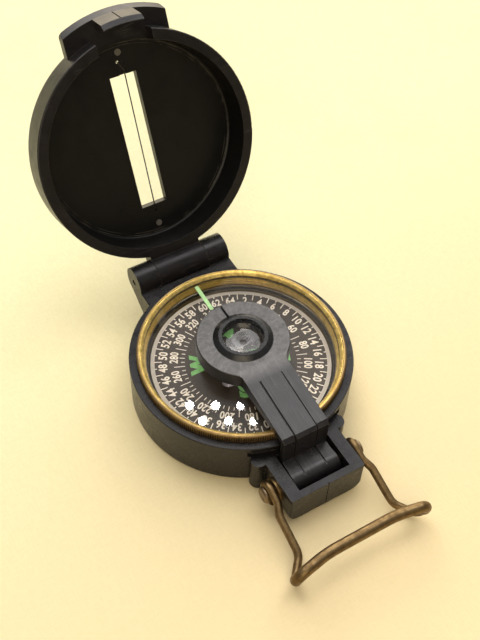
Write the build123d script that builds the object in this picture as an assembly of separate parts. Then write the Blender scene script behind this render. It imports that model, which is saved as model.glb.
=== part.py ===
# Sighting compass, at its real size in millimetres, with its lid open and its eyepiece folded down.
# Origin: centre of the case's underside, on the dial's axis. +Y is the sighting direction, towards the
# lid's hinge, +X is to the right of the sight line and +Z is up.
from build123d import *
import math
import os

# Case
CASE_R = 27.0
CASE_H = 13.1
FLOOR = 1.7
CAPSULE_BORE = 23.15
BEZEL_SEAT = 11.1
RUNNING = 0.05
LIP_LOW = 11.9
HINGE_BLOCK = ((20, 3.6), (24.2, 3.6), (34.9, 11.1))
FINE_LINE = 0.12
SNAP_LOW = 11.9
SNAP_HIGH = 12.6
SNAP_DEPTH = 0.55
SNAP_R = 0.3
# Click spring under the bezel
CLICK_IN = 24.0
CLICK_OUT = 24.85
CLICK_LOW = 10.45
CLICK_THICK = 0.25
CLICK_TIP = 11.15
# Bezel
BEZEL_R = 25.1
BEZEL_TOP = 15.2
BEZEL_LIP_R = 23.45
BEZEL_SLOPE_R = 24.5
RETAINER_Z = 11.3
RETAINER_LOW_R = 22.95
CRYSTAL_R = 23.95
CRYSTAL_Z = 13.2
LIP_Z = 14.25
GASKET = 0.25
INDEX_BEARING = 0.8
INDEX_HALF = 0.5
INDEX_FROM = 14.8
INDEX_TO = 23.2
PAINT = 0.12
# Capsule and card
BOWL_R = 23.1
BOWL_INNER = 22.35
WINDOW_R = 22.75
SHELF_Z = 9.8
BOWL_TOP = 11.0
CARD_R = 22.0
CARD_TOP = 9.33
CARD_THICK = 0.5
HUB_LOW = 7.6
HUB_R = 1.5
HUB_TOP = CARD_TOP + 0.25
JEWEL_R = 1.0
JEWEL_LOW = 8.4
JEWEL_TOP = 9.2
POST_R = 1.0
POST_TOP = 6.6
NEEDLE_R = 0.35
NEEDLE_LOW = 5.0
NEEDLE_CONE = 8.2
MAGNET_HALF = 14.0
PIVOT_TIP = 8.9
# Lid, drawn closed and then turned about the hinge
HINGE_Y = 31.96
HINGE_Z = 13.58
KNUCKLE_R = 3.9
KNUCKLE_HALF = 6.85
EAR_HALF = 12.7
HINGE_PIN_R = 0.8
OPEN_ANGLE = 113.8
LID_R = 28.0
LID_RIM_Z = 13.52
LID_FLOOR_Z = 20.58
LID_BACK_Z = 22.6
LID_RIM_INNER = 25.45
LID_FLOOR_INNER = 24.95
TAB_R = 33.0
TAB_FRONT_R = 32.2
TAB_EDGE = 0.35
TONGUE_HALF = 5.05
TONGUE_INNER_R = 30.3
TONGUE_OUTER_R = 31.5
TONGUE_END_Z = 11.6
TAB_HALF = 13.0
TAB_Z = 17.65
TAB_THICK = 2.45
NOTCH_HALF = 7.0
SLOT_HALF = 3.445
SLOT_END = 16.95
WIRE_R = 0.15
WIRE_Z = 20.76
WIRE_HOLE = (-0.6, -20.1)
WIRE_BEND = (0.6, -17.9)
WIRE_END = 18.6
WIRE_HOLE_R = 0.38
GROOVE_Z = 20.96
POCKET_Z = 21.7
PLUGS_Y = (-22.4, 22.2)
PLUG_R = 0.8
# Bracket box and the axle through it
BOX_HALF = 9.76
BOX_FRONT = -38.65
BOX_LOW = 0.4
BOX_TOP = 9.84
WELL_HALF = 6.7
WELL_FRONT = -36.9
WELL_BACK = -26.9
WELL_FLOOR = 1.5
BOSS_R = 1.9
BOSS_X = 10.5
BOSS_Y = -25.8
AXLE_Y = -32.2
AXLE_Z = 5.6
AXLE_R = 1.1
HEAD_X = 12.55
HEAD_THICK = 0.7
# Eyepiece
EYE_Y = -0.4
EYE_R = 11.17
NECK_Y = -10.5
STRIP_Y = -12.8
STRIP_HALF = 2.7
SLIT_X = 2.88
SLIT_HALF = 0.18
SLIT_DEPTH = 0.4
EYE_TOP = 19.55
TUBE_TOP = 20.5
TUBE_TOP_R = 5.95
EYE_LOW = 15.6
EYE_BORE = 7.15
TUBE_BORE = 6.2
TUBE_SHELF = 17.6
ARM_HALF = 5.94
HEEL_HALF = 6.1
HEEL_R = 3.2
WALL_IN = -27.25
WALL_OUT = -28.6
LENS_R = 4.98
LENS_CURVE = 14.0
# Thumb loop
WIRE_LOOP_R = 0.95
LOOP_BAR_R = 1.3
BAR_BEND = 2.7
BAR_BOW = 30.0
BAR_CORNER = 3.36
BAR_TAPER = 1.4
LOOP_EYE = 2.1
LOOP_EYE_X = 11.4
LOOP_TILT = 19.5

LOW = (Align.CENTER, Align.CENTER, Align.MIN)


def disc(r, z0, z1, x=0.0, y=0.0):
    """Upright cylinder from z0 to z1."""
    return Pos(x, y, z0) * Cylinder(r, z1 - z0, align=LOW)


def ring(r_in, r_out, z0, z1):
    """Upright tube on the dial's axis."""
    return disc(r_out, z0, z1) - disc(r_in, z0 - 1, z1 + 1)


def block(x0, x1, y0, y1, z0, z1):
    """Box between two corners."""
    return Pos((x0 + x1) / 2, (y0 + y1) / 2, (z0 + z1) / 2) * Box(x1 - x0, y1 - y0, z1 - z0)


def rod(r, x0, x1, y, z):
    """Cylinder along X."""
    return Pos(x0, y, z) * Rot(0, 90, 0) * Cylinder(r, x1 - x0, align=LOW)


def side_slab(points, half):
    """Outline in Y and Z, as wide as 2 * half."""
    outline = make_face(Polyline(*points, close=True))
    return extrude(Plane.YZ.offset(-half) * outline, amount=2 * half)


def turned(points):
    """Outline in radius and Z, turned about the dial's axis."""
    return revolve(Plane.XZ * make_face(Polyline(*points, close=True)), Axis.Z)


def circles(part, r, z):
    """The round edges of a part that have this radius and height."""
    rounds = part.edges().filter_by(GeomType.CIRCLE)
    return rounds.filter_by(lambda e: abs(e.radius - r) < 1e-3 and abs(e.arc_center.Z - z) < 1e-3)


def opened(part):
    """Turn a closed lid's part to where it stands open."""
    return part.rotate(Axis((0, HINGE_Y, HINGE_Z), (1, 0, 0)), -OPEN_ANGLE)


# ---- case body ----
def base_case():
    body = disc(CASE_R, 0, CASE_H)
    body = fillet(circles(body, CASE_R, 0), 0.8)
    body = fillet(circles(body, CASE_R, CASE_H), 0.3)
    # Under the rim's lip the wall steps back beside the bracket box.
    body -= ring(CASE_R - 1, CASE_R + 2, BOX_TOP, LIP_LOW) & block(-12.4, 12.4, -40, -20, 0, 20)
    # Bracket box, with its lower long edges rounded, and a round boss at each shoulder.
    box = block(-BOX_HALF, BOX_HALF, BOX_FRONT, -20, BOX_LOW, BOX_TOP)
    low_edges = box.edges().filter_by(Axis.Y).group_by(Axis.Z)[0]
    box = fillet(low_edges, 2.6)
    front_low = box.edges().filter_by(Axis.X).group_by(Axis.Z)[0].group_by(Axis.Y)[0]
    box = fillet(front_low, 0.5)
    body += box
    for side in (-1, 1):
        body += disc(BOSS_R, BOX_LOW, BOX_TOP, side * BOSS_X, BOSS_Y)
    # Hinge block: two ears that carry the lid's pin.
    body += side_slab([*HINGE_BLOCK, (HINGE_Y, HINGE_Z), (28.3, CASE_H), (20, CASE_H)], EAR_HALF)
    body += rod(KNUCKLE_R, -EAR_HALF, EAR_HALF, HINGE_Y, HINGE_Z)
    body -= block(-KNUCKLE_HALF - 0.1, KNUCKLE_HALF + 0.1, 27.85, 40, 9.3, 20)
    body -= rod(HINGE_PIN_R, -20, 20, HINGE_Y, HINGE_Z)
    # Cup for the capsule, seat for the bezel and groove for its snap wire.
    body -= disc(CAPSULE_BORE, FLOOR, CASE_H + 6)
    body -= disc(BEZEL_R + RUNNING, BEZEL_SEAT, CASE_H + 6)
    body -= disc(BEZEL_R + SNAP_DEPTH + 0.1, SNAP_LOW, SNAP_HIGH)
    body -= click_pocket()
    # Well in the bracket box, the axle's hole and the fine line on the front face.
    body -= block(-WELL_HALF, WELL_HALF, WELL_FRONT, WELL_BACK, WELL_FLOOR, 20)
    body -= rod(AXLE_R, -20, 20, AXLE_Y, AXLE_Z)
    body -= block(-FINE_LINE, FINE_LINE, BOX_FRONT - 1, BOX_FRONT + 0.15, 0, 20)
    return body


def click_sector(r_in, r_out, z0, z1, half_angle):
    """Piece of a ring round -X, for the click spring and its pocket."""
    reach = CASE_R * math.tan(math.radians(half_angle))
    outline = make_face(Polyline((0, 0), (-CASE_R, -reach), (-CASE_R, reach), close=True))
    wedge = extrude(Pos(0, 0, z0) * outline, amount=z1 - z0)
    return ring(r_in, r_out, z0, z1) & wedge


def click_pocket():
    return click_sector(CLICK_IN - 0.1, CLICK_OUT + 0.1, CLICK_LOW - 0.05, BEZEL_SEAT + 0.5, 20)


def bezel_click_spring():
    leaf = click_sector(CLICK_IN, CLICK_OUT, CLICK_LOW, CLICK_LOW + CLICK_THICK, 18)
    tip = click_sector(CLICK_IN, CLICK_OUT, CLICK_LOW, CLICK_TIP, 1.5)
    return leaf + tip


def bezel_snap_wire():
    """Round wire half in the case's groove and half in the bezel's."""
    whole = Pos(0, 0, (SNAP_LOW + SNAP_HIGH) / 2) * Torus(BEZEL_R + 0.1, SNAP_R)
    return whole - block(-2, 2, 20, 30, 10, 15)


def capsule_bowl():
    bowl = disc(BOWL_R, FLOOR, BOWL_TOP) - disc(BOWL_INNER, FLOOR + 1, BOWL_TOP + 1)
    return bowl - disc(WINDOW_R + 0.05, SHELF_Z, BOWL_TOP + 1)


def capsule_seal():
    return ring(BOWL_INNER + 0.05, WINDOW_R, SHELF_Z, SHELF_Z + 0.3)


def capsule_window():
    return disc(WINDOW_R, SHELF_Z + 0.3, BOWL_TOP)


def pivot_post():
    foot = FLOOR + 1
    post = disc(3.2, foot, foot + 0.8) + disc(POST_R, foot, POST_TOP)
    return post - disc(NEEDLE_R, NEEDLE_LOW, POST_TOP + 0.4)


def pivot_needle():
    shaft = disc(NEEDLE_R, NEEDLE_LOW, NEEDLE_CONE)
    return shaft + Pos(0, 0, NEEDLE_CONE) * Cone(NEEDLE_R, 0.04, PIVOT_TIP - NEEDLE_CONE, align=LOW)


def lid_hinge_pin():
    return rod(HINGE_PIN_R, -EAR_HALF + 0.3, EAR_HALF - 0.3, HINGE_Y, HINGE_Z)


def rivet_head(side):
    """Low dome on the end of the axle."""
    head = rod(2.0, HEAD_X, HEAD_X + HEAD_THICK, AXLE_Y, AXLE_Z)
    head = chamfer(head.edges().filter_by(GeomType.CIRCLE).sort_by(Axis.X)[-1], 0.35)
    return head if side > 0 else mirror(head, Plane.YZ)


def sight_axle():
    return rod(AXLE_R, -HEAD_X, HEAD_X, AXLE_Y, AXLE_Z) + rivet_head(-1)


def axle_washers():
    one = rod(2.9, BOX_HALF + 0.02, BOX_HALF + 0.45, AXLE_Y, AXLE_Z)
    one -= rod(AXLE_R, 0, 20, AXLE_Y, AXLE_Z)
    return Compound([one, mirror(one, Plane.YZ)])


def eyepiece_spring():
    """Bowed leaf on the well's floor, under the heel."""
    half = 4.0
    bow = WELL_FLOOR + 0.5
    thick = 0.3
    front = WELL_FRONT + 0.4
    back = WELL_BACK - 0.4
    top = ThreePointArc((front, WELL_FLOOR + thick), (AXLE_Y, bow + thick), (back, WELL_FLOOR + thick))
    low = ThreePointArc((back, WELL_FLOOR), (AXLE_Y, bow), (front, WELL_FLOOR))
    ends = [Line(top @ 1, low @ 0), Line(low @ 1, top @ 0)]
    return extrude(Plane.YZ.offset(-half) * make_face([top, ends[0], low, ends[1]]), amount=2 * half)


# ---- bezel ----
def bezel_ring():
    seat = CRYSTAL_R + RUNNING
    groove = BEZEL_R - SNAP_DEPTH
    ring_part = turned([(seat, BEZEL_SEAT + 0.1), (BEZEL_R, BEZEL_SEAT + 0.1), (BEZEL_R, SNAP_LOW),
                        (groove, SNAP_LOW), (groove, SNAP_HIGH), (BEZEL_R, SNAP_HIGH), (BEZEL_R, BEZEL_TOP),
                        (BEZEL_SLOPE_R, BEZEL_TOP), (BEZEL_LIP_R, LIP_Z + 0.15), (BEZEL_LIP_R, LIP_Z),
                        (seat, LIP_Z)])
    return fillet(circles(ring_part, BEZEL_R, BEZEL_TOP), 0.5)


def bezel_crystal():
    return disc(CRYSTAL_R, CRYSTAL_Z, LIP_Z)


def crystal_gasket():
    return ring(BEZEL_LIP_R + RUNNING, CRYSTAL_R, CRYSTAL_Z - GASKET, CRYSTAL_Z)


def crystal_retainer():
    """Brass ring that slopes in below the glass, with two fine grooves in its slope."""
    high = CRYSTAL_Z - GASKET
    body = turned([(RETAINER_LOW_R, RETAINER_Z), (CRYSTAL_R, RETAINER_Z), (CRYSTAL_R, high),
                   (BEZEL_LIP_R + RUNNING, high)])
    for groove_z, groove_r in ((11.8, 23.27), (12.35, 23.43)):
        body -= disc(groove_r, groove_z, groove_z + 0.14)
    return body


def index_line():
    """Luminous line painted under the glass."""
    strip = block(-INDEX_HALF, INDEX_HALF, INDEX_FROM, INDEX_TO, CRYSTAL_Z - PAINT, CRYSTAL_Z)
    return strip.rotate(Axis.Z, -INDEX_BEARING)


# ---- floating card ----
def compass_card():
    return disc(CARD_R, CARD_TOP - CARD_THICK, CARD_TOP) - disc(HUB_R, 0, 20)


def card_hub():
    hub = disc(2.6, HUB_LOW, CARD_TOP - CARD_THICK) + disc(HUB_R, HUB_LOW, HUB_TOP)
    hub = fillet(circles(hub, HUB_R, HUB_TOP), 0.2)
    return hub - disc(JEWEL_R, 0, JEWEL_TOP)


def jewel_cup():
    """Bearing whose cone rides on the needle's point."""
    cup = disc(JEWEL_R, JEWEL_LOW, JEWEL_TOP)
    return cup - Pos(0, 0, JEWEL_LOW - 0.01) * Cone(0.75, 0.02, 0.57, align=LOW)


def card_magnet():
    bar = block(-2.5, 2.5, -MAGNET_HALF, MAGNET_HALF, HUB_LOW - 1.2, HUB_LOW)
    return bar - disc(1.3, 0, 20)


# ---- lid, drawn closed ----
def tab_and_tongue():
    """Finger tab beyond the lid's edge, and the thin end wall that hangs from it."""
    top = TAB_Z + TAB_THICK
    root = TAB_Z + 0.5
    plan = disc(TAB_R, TAB_Z, top) & block(-TAB_HALF, TAB_HALF, -40, -22, 10, 30)
    plan = fillet(plan.edges().filter_by(Axis.Z).group_by(Axis.Y)[0], 1.6)
    drafted = turned([(0, TAB_Z), (TAB_FRONT_R, TAB_Z), (TAB_R, top - TAB_EDGE), (TAB_R - TAB_EDGE, top),
                      (0, top)])
    tab = plan & drafted
    # The tongue's outer face carries on from the tab's edge and follows its curve.
    wedge = turned([(TONGUE_INNER_R, root), (TONGUE_INNER_R, TONGUE_END_Z),
                    (TONGUE_INNER_R + 0.15, TONGUE_END_Z - 0.1), (TONGUE_OUTER_R - 0.1, TONGUE_END_Z + 1.05),
                    (TONGUE_OUTER_R, TONGUE_END_Z + 1.25), (TAB_FRONT_R, TAB_Z), (TAB_FRONT_R, root)])
    tongue = wedge & block(-TONGUE_HALF, TONGUE_HALF, -40, -20, 10, 30)
    tongue -= block(-FINE_LINE, FINE_LINE, -TAB_R, -TONGUE_OUTER_R + 0.15, 10, 19.5)
    return tab + tongue


def lid_cover():
    shell = turned([(0, LID_FLOOR_Z), (LID_FLOOR_INNER, LID_FLOOR_Z), (LID_RIM_INNER, LID_RIM_Z),
                    (LID_R, LID_RIM_Z), (LID_R, LID_BACK_Z), (0, LID_BACK_Z)])
    shell = fillet(circles(shell, LID_R, LID_BACK_Z), 2.5)
    shell = fillet(circles(shell, LID_FLOOR_INNER, LID_FLOOR_Z), 0.6)
    shell = fillet(circles(shell, LID_R, LID_RIM_Z), 0.3)
    shell += tab_and_tongue() - disc(LID_R - 0.5, 0, 40)
    # Notch in the rim for the folded eyepiece's arm.
    shell -= block(-NOTCH_HALF, NOTCH_HALF, -29, -24, LID_RIM_Z - 1, TAB_Z)
    # Sight slot, the wire's groove and end holes, and the plugs' holes.
    shell -= block(-SLOT_HALF, SLOT_HALF, -SLOT_END, SLOT_END, 20, 23)
    shell -= block(-0.25, 0.25, SLOT_END - 0.1, WIRE_END, 20, GROOVE_Z)
    shell -= block(-0.85, 0.85, WIRE_HOLE[1], -SLOT_END + 0.1, 20, GROOVE_Z)
    shell -= disc(0.3, 20, POCKET_Z, 0, WIRE_END)
    shell -= disc(WIRE_HOLE_R, 20, 23, *WIRE_HOLE) + disc(0.95, 21.35, 23, *WIRE_HOLE)
    for plug in PLUGS_Y:
        shell -= disc(PLUG_R, 20, POCKET_Z, 0, plug)
    # Middle knuckle and the web that joins it to the wall.
    web = block(-KNUCKLE_HALF, KNUCKLE_HALF, 27, HINGE_Y, HINGE_Z, HINGE_Z + KNUCKLE_R)
    shell += web - disc(LID_R - 0.5, 0, 40)
    shell += rod(KNUCKLE_R, -KNUCKLE_HALF, KNUCKLE_HALF, HINGE_Y, HINGE_Z)
    shell -= rod(HINGE_PIN_R + RUNNING, -20, 20, HINGE_Y, HINGE_Z)
    return opened(shell)


def sighting_wire():
    """Thin straight wire; its upper end turns aside into a hole through the lid, its lower end into a
    pocket."""
    hole_x, hole_y = WIRE_HOLE
    bend_x, bend_y = WIRE_BEND
    path = FilletPolyline((hole_x, hole_y, 21.3), (hole_x, hole_y, WIRE_Z), (bend_x, bend_y, WIRE_Z),
                          (0, WIRE_END, WIRE_Z), (0, WIRE_END, 21.5), radius=0.3)
    section = Plane(origin=path @ 0, z_dir=path % 0) * Circle(WIRE_R)
    return opened(sweep(section, path=path))


def wire_plugs():
    plugs = []
    for plug in PLUGS_Y:
        one = disc(PLUG_R, LID_FLOOR_Z - 0.1, POCKET_Z, 0, plug)
        plugs.append(opened(one))
    return Compound(plugs)


# ---- eyepiece, folded down ----
def eyepiece_plan():
    """Ring and arm seen from above, with the arm flaring into the ring."""
    plan = Pos(0, EYE_Y) * Circle(EYE_R)
    plan += Pos(0, -18) * Rectangle(2 * ARM_HALF, 2 * (18 + WALL_OUT) + 4 * (-18 - WALL_OUT))
    joint_y = EYE_Y - math.sqrt(EYE_R**2 - ARM_HALF**2)
    inner = plan.vertices().filter_by(lambda v: abs(v.Y - joint_y) < 0.01 and abs(abs(v.X) - ARM_HALF) < 0.01)
    return fillet(inner, 1.4)


def arm_top(y):
    """Height of the arm's sloping top."""
    return 17.0 + (y - WALL_IN) * 0.135


def eyepiece_arm():
    plan = extrude(Pos(0, 0, EYE_LOW - 1) * eyepiece_plan(), amount=10)
    outline = side_slab([(12, EYE_LOW), (12, EYE_TOP), (-8.6, EYE_TOP), (NECK_Y, arm_top(NECK_Y)),
                         (-27.6, arm_top(-27.6)), (WALL_OUT, 16.1), (WALL_OUT, EYE_LOW)], 15)
    head = disc(EYE_R, EYE_LOW - 1, EYE_TOP, 0, EYE_Y)
    head = fillet(circles(head, EYE_R, EYE_TOP), 0.4)
    # Sighting notch in the ring's far side.
    head -= block(-0.3, 0.3, EYE_Y + 3, EYE_Y + 13, 17.8, 22)
    body = plan & outline & (head + block(-15, 15, -40, -9.6, EYE_LOW - 1, EYE_TOP))
    # Raised centre strip, which ends a little beyond the arm.
    body += side_slab([(STRIP_Y, arm_top(STRIP_Y) - 1), (STRIP_Y, arm_top(STRIP_Y) + 0.25),
                       (-27.9, arm_top(-27.9) + 0.25), (WALL_OUT - 0.15, 16.5), (WALL_OUT - 0.15, 9.3),
                       (-27.5, 9.3), (-27.5, 16)], STRIP_HALF)
    # End wall and heel, which turns on the axle.
    body += side_slab([(WALL_IN, 5.1), (WALL_IN, 16.2), (WALL_OUT, 16.1), (WALL_OUT, AXLE_Z + HEEL_R),
                       (AXLE_Y, AXLE_Z + HEEL_R), (AXLE_Y, 5.1)], ARM_HALF)
    body += rod(HEEL_R, -HEEL_HALF, HEEL_HALF, AXLE_Y, AXLE_Z)
    body -= rod(AXLE_R + RUNNING, -20, 20, AXLE_Y, AXLE_Z)
    # Two fine slits down the arm, its end wall and its heel.
    heel_cut = AXLE_Z + HEEL_R - 0.35
    for side in (-1, 1):
        slit = side_slab([(STRIP_Y, arm_top(STRIP_Y) - SLIT_DEPTH), (STRIP_Y, 22), (-40, 22), (-40, heel_cut),
                          (WALL_OUT + 0.3, heel_cut), (WALL_OUT + 0.3, EYE_LOW),
                          (-27.6, arm_top(-27.6) - SLIT_DEPTH)], SLIT_HALF)
        body -= Pos(side * SLIT_X, 0, 0) * slit
    # Stepped bore for the lens tube.
    body -= disc(EYE_BORE, TUBE_SHELF, 22, 0, EYE_Y)
    body -= disc(TUBE_BORE, 10, 22, 0, EYE_Y)
    return body


def lens_tube():
    """Stepped tube with a black cone round its mouth, which stands a little above the eyepiece's ring."""
    stem = TUBE_BORE - 0.03
    cone = EYE_BORE - 0.06
    low = EYE_LOW + 0.15
    shelf = TUBE_SHELF + 0.05
    tube = turned([(0, low), (stem, low), (stem, shelf), (cone, shelf), (cone, EYE_TOP),
                   (TUBE_TOP_R + 0.1, TUBE_TOP - 0.15), (TUBE_TOP_R - 0.15, TUBE_TOP), (0, TUBE_TOP)])
    tube = Pos(0, EYE_Y, 0) * tube
    tube -= disc(LENS_R + 0.03, 16.9, 22, 0, EYE_Y)
    return tube - disc(LENS_R - 0.4, 10, 22, 0, EYE_Y)


def eyepiece_lens():
    middle = 18.2
    sag = LENS_CURVE - math.sqrt(LENS_CURVE**2 - LENS_R**2)
    centre_drop = LENS_CURVE - sag - 0.5
    lens = disc(LENS_R, middle - 2, middle + 2, 0, EYE_Y)
    lens &= Pos(0, EYE_Y, middle - centre_drop) * Sphere(LENS_CURVE)
    lens &= Pos(0, EYE_Y, middle + centre_drop) * Sphere(LENS_CURVE)
    return lens


# ---- thumb loop ----
def loop_point(x, along, out):
    """Place in the loop: along its arms, and out from them, about the axle."""
    tilt = math.radians(LOOP_TILT)
    y = AXLE_Y - along * math.cos(tilt) - out * math.sin(tilt)
    z = AXLE_Z - along * math.sin(tilt) + out * math.cos(tilt)
    return Vector(x, y, z)


def eye_arc(side):
    """Open eye round the axle; it leaves along the arm at its top."""
    points = []
    for degrees in (-20, -145, -270):
        turn = math.radians(degrees)
        points.append(loop_point(side * LOOP_EYE_X, LOOP_EYE * math.cos(turn), LOOP_EYE * math.sin(turn)))
    return ThreePointArc(*points)


def thumb_loop():
    half = [(LOOP_EYE_X, 0, LOOP_EYE), (LOOP_EYE_X, 3.0, LOOP_EYE), (12.5, 5.8, LOOP_EYE),
            (12.65, 15.0, LOOP_EYE), (16.5, 19.7, 2.3), (17.6, 19.1, 9.3), (9.0, 17.6, 8.8)]
    bends = [3.0, 3.0, 4.0, 2.5, BAR_BEND, BAR_BOW]
    points = [loop_point(*p) for p in half]
    points += [loop_point(-x, along, out) for x, along, out in reversed(half)]
    wire_path = FilletPolyline(*points, radius=bends + bends[::-1])
    path = Wire([eye_arc(1)] + list(wire_path.edges()) + [eye_arc(-1)])
    section = Plane(origin=path @ 0, z_dir=path % 0) * Circle(WIRE_LOOP_R)
    loop = sweep(section, path=path)
    # The front bar is thicker, and narrows to the wire on the way down to each arm.
    low, corner = points[4], points[5]
    down = (low - corner).normalized()
    start = corner + down * BAR_CORNER
    mirrored = [Vector(-v.X, v.Y, v.Z) for v in (points[6], corner, start)]
    bends = [BAR_BEND, BAR_BOW, BAR_BOW, BAR_BEND]
    bar_path = FilletPolyline(start, corner, points[6], *mirrored, radius=bends)
    loop += sweep(Plane(origin=bar_path @ 0, z_dir=bar_path % 0) * Circle(LOOP_BAR_R), path=bar_path)
    for end, side in ((start, 1), (mirrored[2], -1)):
        taper = Cone(LOOP_BAR_R, WIRE_LOOP_R, BAR_TAPER, align=LOW)
        loop += Plane(origin=end, z_dir=Vector(side * down.X, down.Y, down.Z)) * taper
    return loop


NODES = [
    base_case, capsule_bowl, capsule_seal, capsule_window, pivot_post, pivot_needle, bezel_snap_wire,
    bezel_click_spring, lid_hinge_pin, sight_axle, axle_washers, eyepiece_spring,
    bezel_ring, bezel_crystal, crystal_gasket, crystal_retainer, index_line,
    compass_card, card_hub, jewel_cup, card_magnet,
    lid_cover, sighting_wire, wire_plugs,
    eyepiece_arm, lens_tube, eyepiece_lens,
    thumb_loop,
]


def axle_cap():
    return rivet_head(1)


os.makedirs("parts", exist_ok=True)
for build in NODES + [axle_cap]:
    export_step(build(), f"parts/{build.__name__}.step")
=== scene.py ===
"""Looks of the sighting compass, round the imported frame.

Blender works in metres. Lengths named _MM, and all lengths inside a Look, are millimetres.
"""
import math

import bmesh
import bpy
from mathutils import Matrix, Vector


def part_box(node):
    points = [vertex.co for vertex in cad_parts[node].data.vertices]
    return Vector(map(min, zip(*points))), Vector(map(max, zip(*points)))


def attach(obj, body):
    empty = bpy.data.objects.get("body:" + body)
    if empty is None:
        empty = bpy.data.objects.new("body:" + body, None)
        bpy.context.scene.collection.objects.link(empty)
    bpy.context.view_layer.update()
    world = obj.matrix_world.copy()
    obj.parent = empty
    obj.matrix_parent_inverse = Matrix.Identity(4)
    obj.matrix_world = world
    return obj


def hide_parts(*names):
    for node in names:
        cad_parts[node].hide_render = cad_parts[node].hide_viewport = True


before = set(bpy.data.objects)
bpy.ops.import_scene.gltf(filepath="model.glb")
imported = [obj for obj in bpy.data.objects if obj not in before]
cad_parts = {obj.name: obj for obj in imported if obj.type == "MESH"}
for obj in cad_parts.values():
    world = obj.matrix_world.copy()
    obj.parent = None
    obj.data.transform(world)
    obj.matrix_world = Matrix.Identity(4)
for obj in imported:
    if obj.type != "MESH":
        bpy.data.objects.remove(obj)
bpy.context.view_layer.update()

MM = 0.001

# The card's printing, lengths in millimetres
CARD_NORTH = math.radians(22.0)
CARD_FACE_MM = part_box("compass_card")[1].z / MM
INK_MM = 0.02
# The lid's own frame: where its hinge is and how far it stands open at rest
LID_OPEN = math.radians(113.8)
LID_HINGE_MM = (0.0, 31.96, 13.58)
EYEPIECE_Y_MM = -0.4
# Camera: what it looks at, the direction it looks from, its distance in metres and its roll in degrees
CAMERA_TARGET_MM = (-2.05, -1.91, 29.03)
CAMERA_FROM = (-0.33400, -0.52718, 0.78136)
CAMERA_AWAY = 0.22179
CAMERA_ROLL = 2.55
LENS_MM = 55.27
# Light: directions in the row's frame, and strengths
FRONT = (0.0, -1.0, 0.1)
RING_LIGHT = (0.33, 0.51, 0.79)
RING_STRENGTH = 3.4
BACK_GLOW = (0.33, 0.93, 0.16)
GLOW_STRENGTH = 3.3
FRONT_FILL = (-0.41, -0.665, 0.623)
FILL_STRENGTH = 2.6
COOL_LIGHT = (1.0, 0.98, 0.975)
WARM_LIGHT = (1.0, 0.84, 0.60)
# Brasses: tarnished colour and rubbed colour
BRASS_BRIGHT = ((0.52, 0.33, 0.075), (0.80, 0.56, 0.17))
BRASS_AGED = ((0.185, 0.115, 0.045), (0.34, 0.225, 0.095))
BRASS_AXLE = ((0.13, 0.095, 0.06), (0.27, 0.195, 0.115))
BRASS_LOOP = ((0.125, 0.08, 0.036), (0.215, 0.145, 0.066))
BRASS_RETAINER = ((0.58, 0.38, 0.09), (0.86, 0.60, 0.19))
BRASS_BEZEL = ((0.54, 0.35, 0.09), (0.84, 0.59, 0.19))


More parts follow.
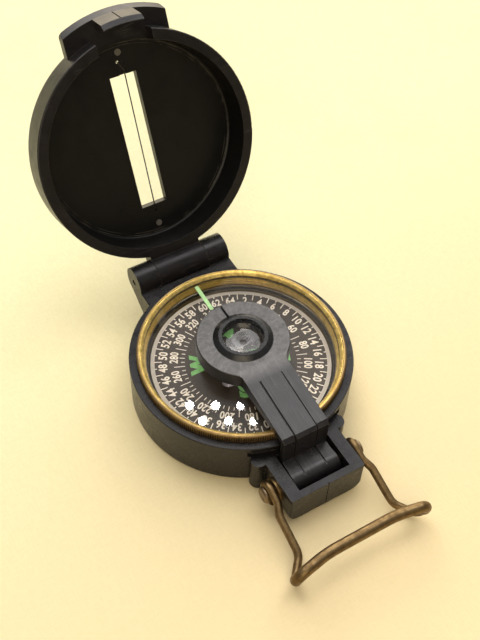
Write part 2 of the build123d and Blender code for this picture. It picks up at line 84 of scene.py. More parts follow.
# ---------------------------------------------------------------- materials
class Look:
    """A node material in the making. Each method adds nodes and returns an output socket."""

    def __init__(self, name):
        self.material = bpy.data.materials.new(name)
        self.material.use_nodes = True
        self.tree = self.material.node_tree
        self.tree.nodes.clear()
        where = self.add("ShaderNodeTexCoord", {}, "Object")
        self.mm = self.add("ShaderNodeVectorMath", {0: where, 1: (1000.0,) * 3}, operation="MULTIPLY")

    def add(self, kind, inputs, out=0, **settings):
        node = self.tree.nodes.new(kind)
        for key, value in settings.items():
            setattr(node, key, value)
        for key, value in inputs.items():
            if isinstance(value, bpy.types.NodeSocket):
                self.tree.links.new(value, node.inputs[key])
            else:
                node.inputs[key].default_value = value
        return node.outputs[out]

    def placed(self, stretch=(1, 1, 1), turn=(0, 0, 0), shift=(0, 0, 0), where=None):
        inputs = {0: where or self.mm, 1: shift, 2: turn, 3: stretch}
        return self.add("ShaderNodeMapping", inputs)

    def noise(self, scale, detail=3.0, rough=0.55, where=None):
        inputs = {"Vector": where or self.mm, "Scale": scale, "Detail": detail, "Roughness": rough}
        return self.add("ShaderNodeTexNoise", inputs, "Fac")

    def cells(self, scale, where):
        """Distance to the nearest of many scattered points."""
        return self.add("ShaderNodeTexVoronoi", {"Vector": where, "Scale": scale}, "Distance", feature="F1")

    def fit(self, value, low, high, to_low=0.0, to_high=1.0):
        inputs = {"Value": value, "From Min": low, "From Max": high, "To Min": to_low, "To Max": to_high}
        return self.add("ShaderNodeMapRange", inputs, interpolation_type="SMOOTHSTEP")

    def calc(self, operation, a, b=0.0, clamp=False):
        return self.add("ShaderNodeMath", {0: a, 1: b}, operation=operation, use_clamp=clamp)

    def add_up(self, *values):
        total = values[0]
        for value in values[1:]:
            total = self.calc("ADD", total, value)
        return total

    def times(self, *values):
        total = values[0]
        for value in values[1:]:
            total = self.calc("MULTIPLY", total, value)
        return total

    def tint(self, fac, a, b):
        node = self.tree.nodes.new("ShaderNodeMix")
        node.data_type = "RGBA"
        for index, value in ((0, fac), (6, a), (7, b)):
            if isinstance(value, bpy.types.NodeSocket):
                self.tree.links.new(value, node.inputs[index])
            else:
                node.inputs[index].default_value = value if index == 0 else (*value[:3], 1.0)
        return node.outputs[2]

    def split(self, where=None):
        node = self.tree.nodes.new("ShaderNodeSeparateXYZ")
        self.tree.links.new(where or self.mm, node.inputs[0])
        return node.outputs[0], node.outputs[1], node.outputs[2]

    def radius(self, where=None, centre=(0.0, 0.0)):
        x, y, _ = self.split(where)
        dx = self.calc("SUBTRACT", x, centre[0])
        dy = self.calc("SUBTRACT", y, centre[1])
        return self.calc("SQRT", self.add_up(self.calc("MULTIPLY", dx, dx), self.calc("MULTIPLY", dy, dy)))

    def round_coords(self, centre=(0.0, 0.0), where=None):
        """Angle (radians), radius and height as one vector, for grain that runs round or across a disc."""
        x, y, z = self.split(where)
        dx = self.calc("SUBTRACT", x, centre[0])
        dy = self.calc("SUBTRACT", y, centre[1])
        angle = self.calc("ARCTAN2", dy, dx)
        r = self.calc("SQRT", self.add_up(self.calc("MULTIPLY", dx, dx), self.calc("MULTIPLY", dy, dy)))
        return self.add("ShaderNodeCombineXYZ", {0: angle, 1: r, 2: z})

    def band(self, value, centre, half, soft):
        """1 within half of centre, falling to 0 over soft."""
        off = self.calc("ABSOLUTE", self.calc("SUBTRACT", value, centre))
        return self.fit(off, half, half + soft, 1.0, 0.0)

    def facing_up(self, low=0.6, high=0.95):
        normal = self.add("ShaderNodeNewGeometry", {}, "Normal")
        return self.fit(self.split(normal)[2], low, high)

    def soft_normal(self, radius_mm):
        return self.add("ShaderNodeBevel", {"Radius": radius_mm * MM}, samples=6)

    def edges(self, radius_mm, low=0.0015, high=0.05):
        """1 on outer and inner edges, 0 on open faces."""
        soft = self.soft_normal(radius_mm)
        flat = self.add("ShaderNodeNewGeometry", {}, "Normal")
        same = self.add("ShaderNodeVectorMath", {0: soft, 1: flat}, "Value", operation="DOT_PRODUCT")
        return self.fit(self.calc("SUBTRACT", 1.0, same), low, high)

    def streaks(self, scale, stretch, turn, low, high, seed):
        """Long thin marks: noise drawn out along one axis, and only its peaks kept."""
        where = self.placed(stretch=stretch, turn=turn, shift=(seed, seed * 0.7, seed * 1.3))
        return self.fit(self.noise(scale, 2.0, 0.6, where), low, high)

    def scratches(self, seed=0.0, low=0.66, high=0.74):
        """Fine straight scratches in several directions, thinned out in patches."""
        marks = None
        for number, angle in enumerate((0.35, 1.15, 1.9, 2.7, 0.8)):
            tilt = 0.25 * number
            turn = (tilt, 0.4 * tilt, angle)
            one = self.streaks(1.0, (0.10, 9.0, 0.6), turn, low, high, seed + 11.0 * number)
            marks = one if marks is None else self.calc("MAXIMUM", marks, one)
        patches = self.fit(self.noise(0.16, 3.0, 0.6, self.placed(shift=(seed, 3.0, 7.0))), 0.42, 0.62)
        return self.times(marks, patches)

    def bump(self, height, depth_mm, normal=None):
        inputs = {"Height": height, "Strength": 1.0, "Distance": depth_mm * MM}
        if normal is not None:
            inputs["Normal"] = normal
        return self.add("ShaderNodeBump", inputs)

    def surface(self, colour, rough, normal=None, **more):
        inputs = {"Base Color": colour, "Roughness": rough}
        if not isinstance(colour, bpy.types.NodeSocket):
            inputs["Base Color"] = (*colour, 1.0)
        if normal is not None:
            inputs["Normal"] = normal
        inputs.update({key.replace("_", " "): value for key, value in more.items()})
        return self.add("ShaderNodeBsdfPrincipled", inputs)

    def done(self, shader):
        end = self.tree.nodes.new("ShaderNodeOutputMaterial")
        self.tree.links.new(shader, end.inputs["Surface"])
        return self.material


def lid_coords(look):
    """Coordinates in the closed lid, in millimetres, wherever the lid stands."""
    back = look.placed(shift=tuple(-v for v in LID_HINGE_MM))
    turned = look.add("ShaderNodeVectorRotate", {"Vector": back, "Angle": LID_OPEN}, rotation_type="X_AXIS")
    return look.placed(shift=LID_HINGE_MM, where=turned)


def black_plastic(name, seed, rough, gleam, grain=None, shade=1.0, lid=False):
    """Moulded black plastic: faint orange peel, handling scratches, dust, and edges rubbed paler; with
    grain, rubbing marks and painted sheen on the upward faces; on the lid, painted shade inside and painted
    highlights along its mould lines.
    """
    look = Look(name)
    mottle = look.noise(0.35, 4.0, 0.6, look.placed(shift=(seed,) * 3))
    peel = look.noise(5.5, 3.0, 0.6)
    fine = look.noise(22.0, 2.0, 0.5)
    marks = look.scratches(seed)
    rubbed = look.edges(0.28)
    patchy = look.fit(look.noise(0.9, 3.0, 0.65, look.placed(shift=(seed + 5.0,) * 3)), 0.38, 0.66)
    rubbed = look.times(rubbed, patchy)
    dark = (0.0055 * shade, 0.0050 * shade, 0.0052 * shade)
    pale = (0.0125 * shade, 0.0112 * shade, 0.0115 * shade)
    colour = look.tint(mottle, dark, pale)
    specks = look.fit(look.cells(1.1, look.placed(shift=(seed, 2.0, 9.0))), 0.07, 0.03)
    specks = look.times(specks, look.fit(look.noise(0.5), 0.5, 0.6), 0.30)
    colour = look.tint(specks, colour, (0.16, 0.14, 0.11))
    colour = look.tint(look.times(marks, 0.30), colour, (0.15, 0.14, 0.13))
    colour = look.tint(look.times(rubbed, 0.34), colour, (0.105, 0.092, 0.08))
    rough = look.fit(mottle, 0.3, 0.7, *rough)
    if grain is not None:
        brushing_and_sheen = grain(look)
        # painted sheen: grain brings rubbing marks and also a pale grey cast on the upward faces, mixed into
        # the colour here
        colour = look.tint(look.times(brushing_and_sheen, 0.62), colour, (0.225, 0.22, 0.218))
        rough = look.calc("SUBTRACT", rough, look.times(brushing_and_sheen, 0.07))
        fine = look.add_up(fine, look.times(brushing_and_sheen, 0.8))
    x, y, _ = look.split()
    seam = look.times(look.band(x, 0.0, 0.16, 0.05), look.fit(y, -38.3, -38.4))
    colour = look.tint(seam, colour, (0.0008, 0.0008, 0.0008))
    if lid:
        _, _, z = look.split(lid_coords(look))
        r = look.radius(lid_coords(look))
        inside = look.times(look.fit(z, 20.75, 20.65), look.fit(r, 25.9, 25.6))
        inside = look.times(inside, look.fit(z, 13.4, 13.7))
        rings = look.calc("MAXIMUM", look.band(r, 24.35, 0.03, 0.05), look.band(r, 23.75, 0.02, 0.04))
        rings = look.times(rings, inside, look.fit(look.noise(0.35, 2.0, 0.5), 0.4, 0.62))
        # painted shade: the lid's inside is coloured darker than its outside, besides being made a little
        # rougher
        shaded_inside_black = look.tint(mottle, (0.0025, 0.0025, 0.0022), (0.0048, 0.0045, 0.0040))
        colour = look.tint(inside, colour, shaded_inside_black)
        # painted highlight: pale colour along the two mould lines inside the lid; their ridges are in the
        # bump
        colour = look.tint(look.times(rings, 0.7), colour, (0.12, 0.11, 0.09))
        rough = look.add_up(rough, look.times(inside, 0.05))
        fine = look.add_up(fine, look.times(rings, 6.0))
    rough = look.calc("SUBTRACT", rough, look.times(look.calc("MAXIMUM", marks, rubbed), 0.08))
    height = look.add_up(look.times(peel, 0.55), look.times(fine, 0.16), look.times(marks, -0.7))
    normal = look.bump(height, 0.012, look.soft_normal(0.16))
    return look.done(look.surface(colour, rough, normal, IOR=1.52, Specular_IOR_Level=gleam))


def ring_grain(look):
    """Rubbing marks that fan out from the eyepiece's bore, and run along its arm, with painted sheen: a pale
    cast over the upward faces, strongest on the ring.
    """
    _, y, _ = look.split()
    fan = look.placed(stretch=(26.0, 0.16, 0.3), where=look.round_coords((0.0, EYEPIECE_Y_MM)))
    run = look.placed(stretch=(5.5, 0.10, 0.5))
    on_ring = look.fit(y, -13.5, -9.0)
    fanned = look.fit(look.noise(1.0, 3.0, 0.7, fan), 0.45, 0.72)
    along = look.fit(look.noise(1.0, 3.0, 0.7, run), 0.45, 0.74)
    # painted sheen: a pale base over the whole ring top, besides its rubbing marks
    worn = look.fit(look.noise(0.8, 5.0, 0.7), 0.3, 0.7, 0.45, 0.85)
    fanned = look.add_up(worn, look.times(fanned, 0.35))
    off_ring = look.calc("SUBTRACT", 1.0, on_ring)
    both = look.add_up(look.times(fanned, on_ring), look.times(along, 0.3, off_ring))
    return look.times(both, look.facing_up(0.8, 0.97))


def brass(name, colours, rough, seed, knurl_shade_dull_wall=None, spin=0.0, peel=0.006):
    """Worn brass: mottled tarnish, drawing or turning lines, pits, and brighter rubbed edges; with a knurl
    mask, also painted shade in the knurl valleys and a duller outer wall.
    """
    look = Look(name)
    dull, bright = colours
    tarnish = look.fit(look.noise(0.55, 5.0, 0.68, look.placed(shift=(seed,) * 3)), 0.34, 0.66)
    spots = look.fit(look.noise(3.2, 3.0, 0.7, look.placed(shift=(seed, 1.0, 4.0))), 0.56, 0.72)
    colour = look.tint(tarnish, dull, bright)
    colour = look.tint(look.times(spots, 0.45), colour, tuple(v * 0.38 for v in dull))
    rubbed = look.edges(0.2)
    colour = look.tint(look.times(rubbed, 0.55), colour, tuple(min(v * 1.25, 0.85) for v in bright))
    low, high = rough
    shine = look.fit(tarnish, 0.0, 1.0, high, low)
    shine = look.add_up(shine, look.times(spots, 0.10))
    lines = look.noise(1.0, 2.0, 0.6, look.placed(stretch=(1.5, 14.0, 14.0)))
    if spin:
        turned = look.placed(stretch=(0.8, spin, spin), where=look.round_coords())
        lines = look.noise(1.0, 2.0, 0.7, turned)
    pits = look.fit(look.noise(9.0, 2.0, 0.6), 0.35, 0.65)
    height = look.add_up(look.times(lines, 0.7), look.times(pits, 0.5), look.times(spots, -0.4))
    if knurl_shade_dull_wall is not None:
        valley_shade_dull_wall = knurl_shade_dull_wall(look)
        matt = outer_tan(look)
        colour = look.tint(look.times(matt, 0.9), colour, (0.30, 0.205, 0.105))
        # painted shade: darkens the knurl valleys, deeper lower down, and dulls the outer wall a little
        colour = look.tint(valley_shade_dull_wall, colour, (0.035, 0.024, 0.012))
        shine = look.add_up(shine, look.times(valley_shade_dull_wall, 0.25), look.times(matt, 0.14))
    normal = look.bump(height, peel, look.soft_normal(0.08))
    return look.done(look.surface(colour, shine, normal, Metallic=1.0))


def knurl_grime(look):
    """Painted shade in the knurl valleys, deeper lower down, and a duller outer wall; the inner slope stays
    bright.
    """
    _, _, z = look.split()
    r = look.radius()
    low_down = look.fit(z, 14.9, 13.6)
    valley = look.times(look.fit(r, 25.06, 24.97), look.fit(z, 14.95, 14.7))
    outer = look.fit(r, 24.5, 24.75)
    # noise that breaks the painted shade up unevenly
    rubbed = look.fit(look.noise(1.2, 3.0, 0.7), 0.35, 0.65)
    in_valley = look.times(valley, look.add_up(0.55, look.times(low_down, 0.4)))
    valley_shade_dull_wall = look.calc("MAXIMUM", in_valley, look.times(outer, 0.18))
    return look.calc("MULTIPLY", valley_shade_dull_wall, look.fit(rubbed, 0.0, 1.0, 1.0, 0.7), clamp=True)


def outer_tan(look):
    """1 on the bezel's outer rim and knurls, whose brass has gone a matt tan, and 0 on its inner slope."""
    return look.fit(look.radius(), 24.45, 24.62)


def steel(name, seed, tone=(0.34, 0.33, 0.32)):
    """Plain drawn steel with fine lines and a clouded shine."""
    look = Look(name)
    cloud = look.fit(look.noise(1.3, 4.0, 0.6, look.placed(shift=(seed,) * 3)), 0.35, 0.65)
    colour = look.tint(cloud, tuple(v * 0.62 for v in tone), tone)
    lines = look.noise(1.0, 2.0, 0.6, look.placed(stretch=(2.0, 18.0, 18.0)))
    rough = look.fit(cloud, 0.0, 1.0, 0.42, 0.26)
    return look.done(look.surface(colour, rough, look.bump(lines, 0.004), Metallic=1.0))


def rubber(name, seed, tone=(0.012, 0.011, 0.010)):
    """Matt rubber with a pale bloom in patches."""
    look = Look(name)
    cloud = look.noise(1.5, 4.0, 0.6, look.placed(shift=(seed,) * 3))
    bloom = look.fit(look.noise(0.6, 3.0, 0.6), 0.5, 0.7)
    colour = look.tint(cloud, tone, tuple(v * 2.0 for v in tone))
    colour = look.tint(look.times(bloom, 0.25), colour, (0.06, 0.055, 0.05))
    return look.done(look.surface(colour, look.fit(cloud, 0.3, 0.7, 0.6, 0.78), look.bump(cloud, 0.01)))


def glass(name, tone, seed, dust=0.05, smear=0.03, ior=1.5):
    """Clear glass with dust specks, faint smears and hairline scratches; it lets the lamps through."""
    look = Look(name)
    specks = look.fit(look.cells(1.6, look.placed(shift=(seed, 4.0, 1.0))), 0.075, 0.03)
    specks = look.times(specks, look.fit(look.noise(0.45), 0.44, 0.6))
    marks = look.scratches(seed, 0.70, 0.76)
    film = look.fit(look.noise(0.22, 4.0, 0.65, look.placed(shift=(seed,) * 3)), 0.5, 0.75)
    rough = look.times(film, smear)
    clear = look.surface(tone, rough, Transmission_Weight=1.0, IOR=ior)
    dirty = look.surface((0.62, 0.58, 0.50), 0.85)
    cover = look.calc("MAXIMUM", look.times(specks, dust), look.times(marks, dust * 0.35))
    coated = look.add("ShaderNodeMixShader", {0: cover, 1: clear, 2: dirty})
    path = look.tree.nodes.new("ShaderNodeLightPath")
    through = look.calc("MAXIMUM", path.outputs["Is Shadow Ray"], path.outputs["Is Diffuse Ray"])
    open_air = look.add("ShaderNodeBsdfTransparent", {"Color": (*tone, 1.0)})
    return look.done(look.add("ShaderNodeMixShader", {0: through, 1: coated, 2: open_air}))


def card_face():
    """The card's dark brown face: paper-fine mottling, faint turning rings and a little wear."""
    look = Look("card_face")
    cloud = look.noise(0.5, 4.0, 0.6)
    weave = look.noise(7.0, 3.0, 0.6)
    rings = look.noise(1.0, 2.0, 0.6, look.placed(stretch=(0.6, 9.0, 1.0), where=look.round_coords()))
    colour = look.tint(cloud, (0.015, 0.0088, 0.0048), (0.028, 0.0165, 0.009))
    colour = look.tint(look.times(look.fit(weave, 0.55, 0.75), 0.2), colour, (0.06, 0.045, 0.03))
    rough = look.fit(cloud, 0.3, 0.7, 0.48, 0.62)
    height = look.add_up(weave, look.times(rings, 0.5))
    return look.done(look.surface(colour, rough, look.bump(height, 0.008)))


def ink(name, seed, pale, worn, gap):
    """Screen-printed ink: slightly uneven cover, a soft edge of wear, matt."""
    look = Look(name)
    cover = look.noise(3.6, 4.0, 0.65, look.placed(shift=(seed,) * 3))
    cloud = look.noise(0.5, 3.0, 0.6, look.placed(shift=(seed, 3.0, 2.0)))
    colour = look.tint(look.fit(cloud, 0.35, 0.65), worn, pale)
    rim = look.fit(look.radius(), 20.94, 21.1)
    colour = look.tint(look.times(rim, 0.7), colour, (0.36, 0.34, 0.32))
    colour = look.tint(look.times(look.fit(cover, 0.60, 0.72), gap), colour, tuple(v * 0.35 for v in worn))
    return look.done(look.surface(colour, look.fit(cover, 0.3, 0.7, 0.5, 0.66), look.bump(cover, 0.01)))


def luminous(name, seed, tone, glow):
    """Luminous paint: grainy, chalky, a little thick and uneven, with a faint emission that paints a glow on
    it.
    """
    look = Look(name)
    grain = look.noise(6.5, 4.0, 0.7, look.placed(shift=(seed,) * 3))
    cloud = look.noise(0.9, 3.0, 0.6, look.placed(shift=(seed, 8.0, 2.0)))
    colour = look.tint(look.fit(cloud, 0.35, 0.65), tuple(v * 0.78 for v in tone), tone)
    colour = look.tint(look.times(look.fit(grain, 0.58, 0.7), 0.4), colour, tuple(v * 0.55 for v in tone))
    rough = look.fit(grain, 0.3, 0.7, 0.55, 0.75)
    # painted glow: the emission makes the paint shine of itself
    more = {"Emission_Color": (*tone, 1.0), "Emission_Strength": glow}
    return look.done(look.surface(colour, rough, look.bump(grain, 0.03), **more))


def dark_moulding(name, seed, tone, rough=(0.3, 0.42)):
    """Finer black moulding, such as the lens tube's, with turning lines."""
    look = Look(name)
    cloud = look.noise(0.9, 4.0, 0.6, look.placed(shift=(seed,) * 3))
    centred = look.round_coords((0.0, EYEPIECE_Y_MM))
    rings = look.noise(1.0, 2.0, 0.6, look.placed(stretch=(0.5, 8.0, 8.0), where=centred))
    rubbed = look.edges(0.16)
    colour = look.tint(cloud, tuple(v * 0.7 for v in tone), tone)
    colour = look.tint(look.times(rubbed, 0.45), colour, (0.13, 0.125, 0.12))
    shine = look.fit(cloud, 0.3, 0.7, *rough)
    height = look.add_up(look.times(rings, 0.6), look.times(look.noise(8.0), 0.3))
    return look.done(look.surface(colour, shine, look.bump(height, 0.006, look.soft_normal(0.12))))


def ruby(name):
    """Cloudy red synthetic ruby, polished."""
    look = Look(name)
    cloud = look.noise(2.0, 3.0, 0.6)
    colour = look.tint(cloud, (0.22, 0.004, 0.02), (0.42, 0.012, 0.05))
    rough = look.fit(cloud, 0.3, 0.7, 0.08, 0.16)
    return look.done(look.surface(colour, rough, look.bump(cloud, 0.002), IOR=1.76))


def wear_material(node, material):
    """Gives every slot of a CAD node the material."""
    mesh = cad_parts[node].data
    if not mesh.materials:
        mesh.materials.append(material)
    for index in range(len(mesh.materials)):
        mesh.materials[index] = material


# ---------------------------------------------------------------- mesh helpers
def piece(name, bm, material, body, smooth=True):
    """A finished mesh object that rides a body."""
    bmesh.ops.recalc_face_normals(bm, faces=bm.faces)
    mesh = bpy.data.meshes.new(name)
    bm.to_mesh(mesh)
    bm.free()
    mesh.materials.append(material)
    if smooth:
        mesh.shade_smooth()
        mesh.set_sharp_from_angle(angle=math.radians(38.0))
    made = bpy.data.objects.new(name, mesh)
    bpy.context.scene.collection.objects.link(made)
    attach(made, body)
    return made


def at(angle, radius, height):
    """A point at a bearing, clockwise from +Y seen from above; lengths in millimetres."""
    return Vector((radius * math.sin(angle), radius * math.cos(angle), height)) * MM


def revolve(bm, profile, steps, shape=None):
    """A closed profile of (radius, height) turned about the dial axis.

    shape, if given, says a point's radius from its radius, step and place in the profile.
    """
    rows = []
    for step in range(steps):
        angle = math.tau * step / steps
        row = []
        for index, (radius, height) in enumerate(profile):
            if shape is not None:
                radius = shape(radius, step, index)
            row.append(bm.verts.new(at(angle, radius, height)))
        rows.append(row)
    count = len(profile)
    for step in range(steps):
        here, there = rows[step], rows[(step + 1) % steps]
        for index in range(count):
            nxt = (index + 1) % count
            bm.faces.new((here[index], here[nxt], there[nxt], there[index]))


def thin_plate(bm, outline, low, high):
    """A flat plate from a closed outline of (bearing, radius) points."""
    bottom = [bm.verts.new(at(angle, radius, low)) for angle, radius in outline]
    top = [bm.verts.new(at(angle, radius, high)) for angle, radius in outline]
    bm.faces.new(top)
    bm.faces.new(list(reversed(bottom)))
    count = len(outline)
    for index in range(count):
        nxt = (index + 1) % count
        bm.faces.new((bottom[index], bottom[nxt], top[nxt], top[index]))


def tick(bm, bearing, inner, outer, width, low, high):
    """A scale mark between two radii, as wide at both ends."""
    half_in, half_out = width / 2 / inner, width / 2 / outer
    outline = [
        (bearing - half_in, inner),
        (bearing - half_out, outer),
        (bearing + half_out, outer),
        (bearing + half_in, inner),
    ]
    thin_plate(bm, outline, low, high)


def word(bm, text, cap_height, bearing, radius, low, bold, narrow=1.0, thick=INK_MM):
    """Letters lying on the card, their tops away from its centre."""
    curve = bpy.data.curves.new("word", "FONT")
    curve.body = text
    curve.size = 1.0
    curve.resolution_u = 4
    curve.offset = bold
    curve.space_character = 1.06
    curve.extrude = 0.5
    holder = bpy.data.objects.new("word", curve)
    bpy.context.scene.collection.objects.link(holder)
    bpy.context.view_layer.update()
    mesh = bpy.data.meshes.new_from_object(holder.evaluated_get(bpy.context.evaluated_depsgraph_get()))
    bpy.data.objects.remove(holder)
    bpy.data.curves.remove(curve)
    xs = [v.co.x for v in mesh.vertices]
    ys = [v.co.y for v in mesh.vertices]
    middle = Vector(((min(xs) + max(xs)) / 2, (min(ys) + max(ys)) / 2, 0.0))
    size = cap_height / (max(ys) - min(ys))
    scale = Matrix.Diagonal((size * narrow * MM, size * MM, thick * MM, 1.0))
    turn = Matrix.Rotation(-bearing, 4, "Z")
    place = Matrix.Translation(at(bearing, radius, low + thick / 2))
    mesh.transform(place @ turn @ scale @ Matrix.Translation(-middle))
    bm.from_mesh(mesh)
    bpy.data.meshes.remove(mesh)


# ---------------------------------------------------------------- the pieces made here
def grooved_slope(start, end, grooves):
    """Points down a sloping wall with fine round-bottomed grooves turned into it."""
    points = []
    steps = 6 * grooves + 2
    for step in range(steps + 1):
        share = step / steps
        radius = start[0] + (end[0] - start[0]) * share
        height = start[1] + (end[1] - start[1]) * share
        cut = 0.05 * max(0.0, math.sin(math.tau * (share * grooves - 0.25))) ** 1.5
        points.append((radius + 0.6 * cut, height - 0.8 * cut))
    return points


def knurled_bezel(material):
    """The turning bezel ring with its knurls: fine teeth on its outer wall, fading at the rounded top."""
    teeth = 290
    per_tooth = 4
    depth = (0.0, 0.13, 0.16, 0.13)
    outer = 25.1
    seat = 24.0
    low = 11.2
    profile = [
        (seat, low),
        (24.85, low),
        (25.02, 11.36),
        (25.02, 11.84),
        (24.6, 11.95),
        (24.6, 12.55),
        (25.02, 12.66),
        (25.04, 12.95),
        (outer, 13.05),
        (outer, 13.6),
        (outer, 14.2),
        (outer, 14.6),
        (25.07, 14.82),
        (24.98, 15.0),
        (24.84, 15.13),
        (24.68, 15.19),
        (24.56, 15.19),
        (24.46, 15.14),
        *grooved_slope((24.42, 15.10), (23.49, 14.42), 3),
        (23.45, 14.38),
        (23.45, 14.26),
        (seat, 14.26),
        (seat, 13.4),
        (seat, 12.4),
    ]
    # How deep the teeth are cut at each profile point; the points not named have none.
    strength = {8: 0.55, 9: 1.0, 10: 1.0, 11: 1.0, 12: 0.9, 13: 0.65, 14: 0.35, 15: 0.12}

    def cut(radius, step, index):
        tooth, phase = divmod(step, per_tooth)
        uneven = 1.0 + 0.12 * math.sin(tooth * 12.9898) * math.cos(tooth * 4.1414)
        return radius - depth[phase] * strength.get(index, 0.0) * uneven

    bm = bmesh.new()
    revolve(bm, profile, teeth * per_tooth, cut)
    made = piece("bezel_knurled", bm, material, "bezel")
    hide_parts("bezel_ring")
    return made


def card_printing(material):
    """Mils outside, degrees inside, on one printed layer; the numbers' tops point outward."""
    low = CARD_FACE_MM
    high = low + INK_MM
    ring_in = 20.98
    ring_out = 21.95
    bm = bmesh.new()
    revolve(bm, [(ring_in, low), (ring_out, low), (ring_out, high), (ring_in, high)], 360)
    for hundred in range(64):
        bearing = CARD_NORTH + math.tau * hundred / 64
        inner = 20.45 if hundred % 2 == 0 else 19.25
        tick(bm, bearing, inner, 21.09, 0.24, low, high)
        if hundred % 2 == 0:
            word(bm, str(hundred or 64), 2.2, bearing, 19.0, low, 0.026, 0.80)
    for step in range(72):
        degrees = step * 5
        bearing = CARD_NORTH + math.radians(degrees)
        outer = 14.55
        if degrees % 20 == 10:
            outer = 16.3
        elif degrees % 10 == 0:
            outer = 14.95
        tick(bm, bearing, 13.65, outer, 0.2, low, high)
        if degrees % 20 == 0 and degrees:
            word(bm, str(degrees), 2.1, bearing, 16.3, low, 0.026, 0.78)
    return piece("card_printing", bm, material, "card")


def card_lume(material):
    """Luminous letters and the north arrow, in a thicker layer of paint."""
    low = CARD_FACE_MM
    thick = 0.05
    bm = bmesh.new()
    letters = (
        ("E", 90, 10.0, 4.0, 1.15),
        ("S", 182, 8.6, 4.6, 1.1),
        ("W", 270, 10.4, 4.1, 1.0),
    )
    for text, degrees, radius, size, narrow in letters:
        word(bm, text, size, CARD_NORTH + math.radians(degrees), radius, low, 0.07, narrow, thick)
    tip = 12.9
    shoulder = 8.2
    neck = shoulder + 0.1
    foot = 4.4
    arrow = [
        (-0.22, shoulder),
        (0.0, tip),
        (0.22, shoulder),
        (0.075, neck),
        (0.12, foot),
        (-0.12, foot),
        (-0.075, neck),
    ]
    thin_plate(bm, [(CARD_NORTH + turn, radius) for turn, radius in arrow], low, low + thick)
    return piece("card_lume", bm, material, "card")


def bubble(material):
    """A small air bubble pressed flat under the capsule's window."""
    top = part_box("capsule_window")[0].z / MM - 0.01
    bm = bmesh.new()
    centre = Vector((-5.9, -4.3, top)) * MM
    wide = 1.75
    deep = 0.46
    rings = 10
    steps = 48
    profile = []
    for ring in range(1, rings + 1):
        turn = math.pi / 2 * ring / rings
        profile.append((wide * math.sin(turn), -deep * math.cos(turn) ** 0.8))
    profile += [(1.62, 0.0), (0.9, 0.0)]
    loops = []
    for radius, height in profile:
        loop = []
        for step in range(steps):
            angle = math.tau * step / steps
            spot = Vector((radius * math.cos(angle), radius * 0.9 * math.sin(angle), height)) * MM
            loop.append(bm.verts.new(centre + spot))
        loops.append(loop)
    for lower, upper in zip(loops, loops[1:]):
        for step in range(steps):
            nxt = (step + 1) % steps
            bm.faces.new((lower[step], lower[nxt], upper[nxt], upper[step]))
    bm.faces.new(loops[0])
    bm.faces.new(list(reversed(loops[-1])))
    return piece("capsule_bubble", bm, material, "case")


def table_top():
    """A wide, pale table with the faintest cloth grain, and painted shade that makes it darker and warmer
    towards the front.
    """
    look = Look("pale_table")
    cloud = look.noise(0.012, 4.0, 0.6)
    near = look.noise(0.05, 3.0, 0.6)
    thread_x = look.noise(1.0, 2.0, 0.6, look.placed(stretch=(2.6, 0.35, 1.0)))
    thread_y = look.noise(1.0, 2.0, 0.6, look.placed(stretch=(0.35, 2.6, 1.0)))
    weave = look.add_up(thread_x, thread_y)
    _, y, _ = look.split()
    # painted shade: the table's colour runs from warm and darker at the front to paler and yellower at the
    # back
    painted_light_to_back = look.fit(y, -70.0, 90.0)
    colour = look.tint(painted_light_to_back, (0.715, 0.58, 0.335), (0.735, 0.715, 0.45))
    patches = look.times(look.fit(cloud, 0.35, 0.65), look.fit(near, 0.35, 0.7), 0.3)
    colour = look.tint(patches, colour, (0.74, 0.62, 0.36))
    colour = look.tint(look.times(look.fit(weave, 0.85, 1.2), 0.22), colour, (0.62, 0.52, 0.30))
    material = look.done(look.surface(colour, 0.9, look.bump(weave, 0.05), Specular_IOR_Level=0.2))
    bm = bmesh.new()
    bmesh.ops.create_grid(bm, x_segments=24, y_segments=24, size=2.0)
    mesh = bpy.data.meshes.new("table_top")
    bm.to_mesh(mesh)
    bm.free()
    mesh.materials.append(material)
    made = bpy.data.objects.new("table_top", mesh)
    bpy.context.scene.collection.objects.link(made)
    return made


# ---------------------------------------------------------------- light and camera
def softbox(name, direction, distance, size, radiance, tone):
    """A square area lamp that faces the compass; radiance is its brightness as seen."""
    data = bpy.data.lights.new(name, "AREA")
    data.shape = "RECTANGLE"
    data.size, data.size_y = size
    data.energy = radiance * math.pi * size[0] * size[1]
    data.color = tone
    lamp = bpy.data.objects.new(name, data)
    towards = Vector(direction).normalized()
    lamp.location = towards * distance
    lamp.rotation_euler = towards.to_track_quat("Z", "Y").to_euler()
    bpy.context.scene.collection.objects.link(lamp)
    return lamp


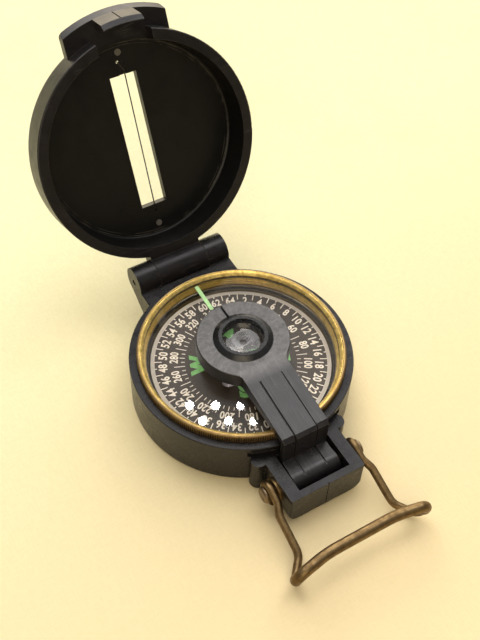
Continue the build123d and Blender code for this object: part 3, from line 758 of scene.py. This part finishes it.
def studio():
    """Soft even light from all round, brighter in a ring high up behind, low behind the lid and in front."""
    world = bpy.data.worlds.new("studio")
    bpy.context.scene.world = world
    world.use_nodes = True
    tree = world.node_tree
    tree.nodes.clear()
    where = tree.nodes.new("ShaderNodeTexCoord").outputs["Generated"]

    def ramp(value, low, high, to_low, to_high):
        node = tree.nodes.new("ShaderNodeMapRange")
        node.interpolation_type = "SMOOTHSTEP"
        tree.links.new(value, node.inputs["Value"])
        for name, number in (("From Min", low), ("From Max", high), ("To Min", to_low), ("To Max", to_high)):
            node.inputs[name].default_value = number
        return node.outputs[0]

    def math_node(operation, a, b):
        node = tree.nodes.new("ShaderNodeMath")
        node.operation = operation
        for index, value in enumerate((a, b)):
            if isinstance(value, bpy.types.NodeSocket):
                tree.links.new(value, node.inputs[index])
            else:
                node.inputs[index].default_value = value
        return node.outputs[0]

    def nearness(direction):
        node = tree.nodes.new("ShaderNodeVectorMath")
        node.operation = "DOT_PRODUCT"
        tree.links.new(where, node.inputs[0])
        node.inputs[1].default_value = Vector(direction).normalized()
        return node.outputs["Value"]

    def cosine(degrees):
        return math.cos(math.radians(degrees))

    height = tree.nodes.new("ShaderNodeSeparateXYZ")
    tree.links.new(where, height.inputs[0])
    surround = ramp(height.outputs[2], -0.1, 0.8, 0.16, 0.38)
    to_front = nearness(FRONT)
    surround = math_node("MULTIPLY", surround, ramp(to_front, 0.6, 0.95, 1.0, 0.5))
    to_ring = nearness(RING_LIGHT)
    hole = ramp(to_ring, cosine(15), cosine(9), 1.0, 0.0)
    ring = math_node("MULTIPLY", hole, ramp(to_ring, cosine(44), cosine(28), 0.0, 1.0))
    glow = ramp(nearness(BACK_GLOW), cosine(34), cosine(12), 0.0, 1.0)
    fill = ramp(nearness(FRONT_FILL), cosine(30), cosine(12), 0.0, 1.0)
    cool = math_node("ADD", surround, math_node("MULTIPLY", ring, RING_STRENGTH))
    glow = math_node("MULTIPLY", glow, GLOW_STRENGTH)
    warm = math_node("ADD", glow, math_node("MULTIPLY", fill, FILL_STRENGTH))
    both = tree.nodes.new("ShaderNodeAddShader")
    for index, (strength, tone) in enumerate(((cool, COOL_LIGHT), (warm, WARM_LIGHT))):
        sky = tree.nodes.new("ShaderNodeBackground")
        sky.inputs["Color"].default_value = (*tone, 1.0)
        tree.links.new(strength, sky.inputs["Strength"])
        tree.links.new(sky.outputs[0], both.inputs[index])
    end = tree.nodes.new("ShaderNodeOutputWorld")
    tree.links.new(both.outputs[0], end.inputs["Surface"])
    softbox("softbox_overhead", (-0.15, 0.25, 1.0), 0.95, (0.36, 0.36), 2.0, (1.0, 0.98, 0.95))
    catch_lights()


def catch_lights():
    """Six small round lamps in two rows, which show as bright dots in the bezel's glass."""
    middle = Vector((0.3098, 0.5427, 0.998))
    across = Vector((0.0315, -0.018, 0.0))
    along = Vector((-0.007, -0.0169, 0.012))
    stagger = 0.45
    radiance = 110.0
    for row in range(2):
        for column in range(3):
            data = bpy.data.lights.new(f"lamp_{row}_{column}", "AREA")
            data.shape = "DISK"
            data.size = 0.0128
            data.energy = radiance * math.pi * math.pi * (data.size / 2) ** 2
            lamp = bpy.data.objects.new(data.name, data)
            shift = across * (column - 1 + stagger * row) + along * (row - 0.5)
            lamp.location = middle + shift
            lamp.rotation_euler = lamp.location.to_track_quat("Z", "Y").to_euler()
            bpy.context.scene.collection.objects.link(lamp)


def photo_camera():
    """The camera stands in front and to the left, looking down at about 51 degrees."""
    data = bpy.data.cameras.new("camera")
    data.sensor_width = 36.0
    data.lens = LENS_MM
    data.clip_start = 0.005
    data.clip_end = 20.0
    camera = bpy.data.objects.new("camera", data)
    bpy.context.scene.collection.objects.link(camera)
    target = Vector(CAMERA_TARGET_MM) * MM
    back = Vector(CAMERA_FROM).normalized()
    right = Vector((0, 0, 1)).cross(back).normalized()
    up = back.cross(right)
    roll = math.radians(CAMERA_ROLL)
    across = right * math.cos(roll) + up * math.sin(roll)
    along = up * math.cos(roll) - right * math.sin(roll)
    spot = target + back * CAMERA_AWAY
    camera.matrix_world = Matrix.Translation(spot) @ Matrix((across, along, back)).transposed().to_4x4()
    bpy.context.scene.camera = camera


photo_camera()
studio()
table_top()

LOOKS = {
    "base_case": black_plastic("case_plastic", 1.0, (0.24, 0.34), 0.3),
    "lid_cover": black_plastic("lid_plastic", 4.0, (0.28, 0.38), 0.24, lid=True),
    "eyepiece_arm": black_plastic("eyepiece_plastic", 9.0, (0.26, 0.38), 0.42, grain=ring_grain, shade=1.15),
    "capsule_bowl": dark_moulding("capsule_moulding", 2.0, (0.17, 0.12, 0.045), (0.4, 0.5)),
    "capsule_seal": rubber("capsule_rubber", 1.0),
    "crystal_gasket": rubber("gasket_rubber", 5.0, (0.10, 0.075, 0.035)),
    "capsule_window": glass("window_clear", (0.99, 0.975, 0.94), 3.0, dust=0.0, smear=0.0, ior=1.15),
    "bezel_crystal": glass("crystal_glass", (0.995, 0.99, 0.98), 6.0, dust=0.3, smear=0.0, ior=1.46),
    "eyepiece_lens": glass("lens_glass", (0.99, 0.995, 0.99), 8.0, dust=0.03, smear=0.0, ior=1.49),
    "pivot_post": brass("pivot_brass", BRASS_BRIGHT, (0.25, 0.4), 3.0, spin=9.0),
    "card_hub": brass("hub_brass", BRASS_BRIGHT, (0.22, 0.36), 7.0, spin=9.0),
    "crystal_retainer": brass("retainer_brass", BRASS_RETAINER, (0.30, 0.42), 2.0, spin=11.0, peel=0.003),
    "axle_washers": brass("washer_brass", BRASS_AGED, (0.34, 0.48), 6.0),
    "sight_axle": brass("axle_brass", BRASS_AXLE, (0.32, 0.46), 8.0),
    "axle_cap": brass("cap_brass", BRASS_AXLE, (0.32, 0.46), 9.0),
    "thumb_loop": brass("loop_brass", BRASS_LOOP, (0.36, 0.50), 5.0),
    "pivot_needle": steel("needle_steel", 2.0, (0.55, 0.55, 0.56)),
    "bezel_snap_wire": steel("snap_steel", 4.0),
    "bezel_click_spring": steel("click_steel", 6.0),
    "lid_hinge_pin": steel("hinge_steel", 8.0, (0.20, 0.185, 0.165)),
    "eyepiece_spring": steel("spring_steel", 3.0),
    "sighting_wire": steel("wire_steel", 5.0, (0.09, 0.085, 0.08)),
    "card_magnet": steel("magnet_metal", 7.0, (0.25, 0.25, 0.26)),
    "wire_plugs": dark_moulding("plug_plastic", 5.0, (0.10, 0.092, 0.078), (0.45, 0.6)),
    "lens_tube": dark_moulding("tube_plastic", 3.0, (0.006, 0.0058, 0.006), (0.22, 0.32)),
    "compass_card": card_face(),
    "jewel_cup": ruby("jewel_ruby"),
    "index_line": luminous("line_paint", 2.0, (0.50, 0.82, 0.38), 0.10),
}
for node_name, material in LOOKS.items():
    wear_material(node_name, material)

knurled_bezel(brass("bezel_brass", BRASS_BEZEL, (0.24, 0.38), 1.0, knurl_shade_dull_wall=knurl_grime, spin=9.0))
card_printing(ink("card_ink", 2.0, (0.90, 0.87, 0.82), (0.78, 0.74, 0.68), 0.4))
card_lume(luminous("card_paint", 4.0, (0.22, 0.60, 0.20), 0.04))
bubble(steel("bubble_sheen", 9.0, (0.5, 0.45, 0.5)))

bpy.context.scene.view_settings.view_transform = "Standard"
bpy.context.scene.view_settings.look = "None"
